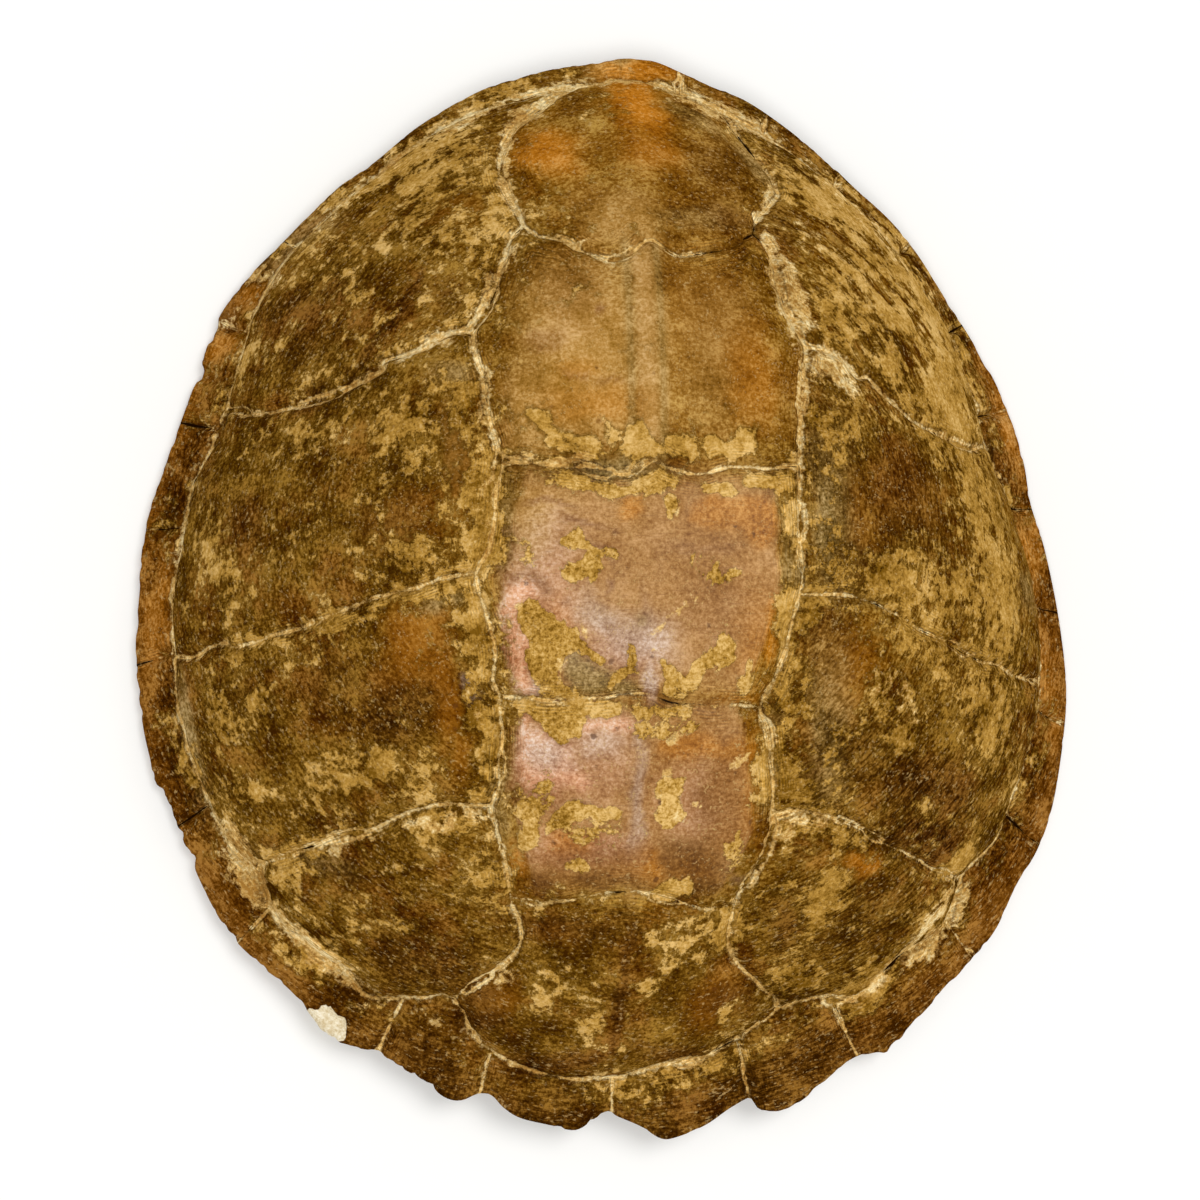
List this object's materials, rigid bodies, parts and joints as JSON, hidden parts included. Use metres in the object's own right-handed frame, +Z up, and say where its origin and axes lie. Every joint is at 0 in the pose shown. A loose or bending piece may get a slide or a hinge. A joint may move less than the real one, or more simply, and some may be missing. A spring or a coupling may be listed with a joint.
{
  "type": "turtle shell",
  "caption": "Dried upper shell of a snapping turtle: a low oval dome of bone and horn with scute seams, a toothed rear rim and a hollow underside, resting on its rim.",
  "frame": {"origin": "on the ground under the middle of the shell as it rests on its rim", "axes": "+Y towards the head end, +Z up out of the back, +X to the right seen from above with the head end up"},
  "size_m": [0.2852, 0.3256, 0.0988],
  "materials": {
    "weathered_horn": "dark brown horn worn to amber and bare bone in places, under a dry ochre crust, satin where it is rubbed"
  },
  "bodies": {
    "root": {"carapace": "weathered_horn"}
  },
  "joints": []
}
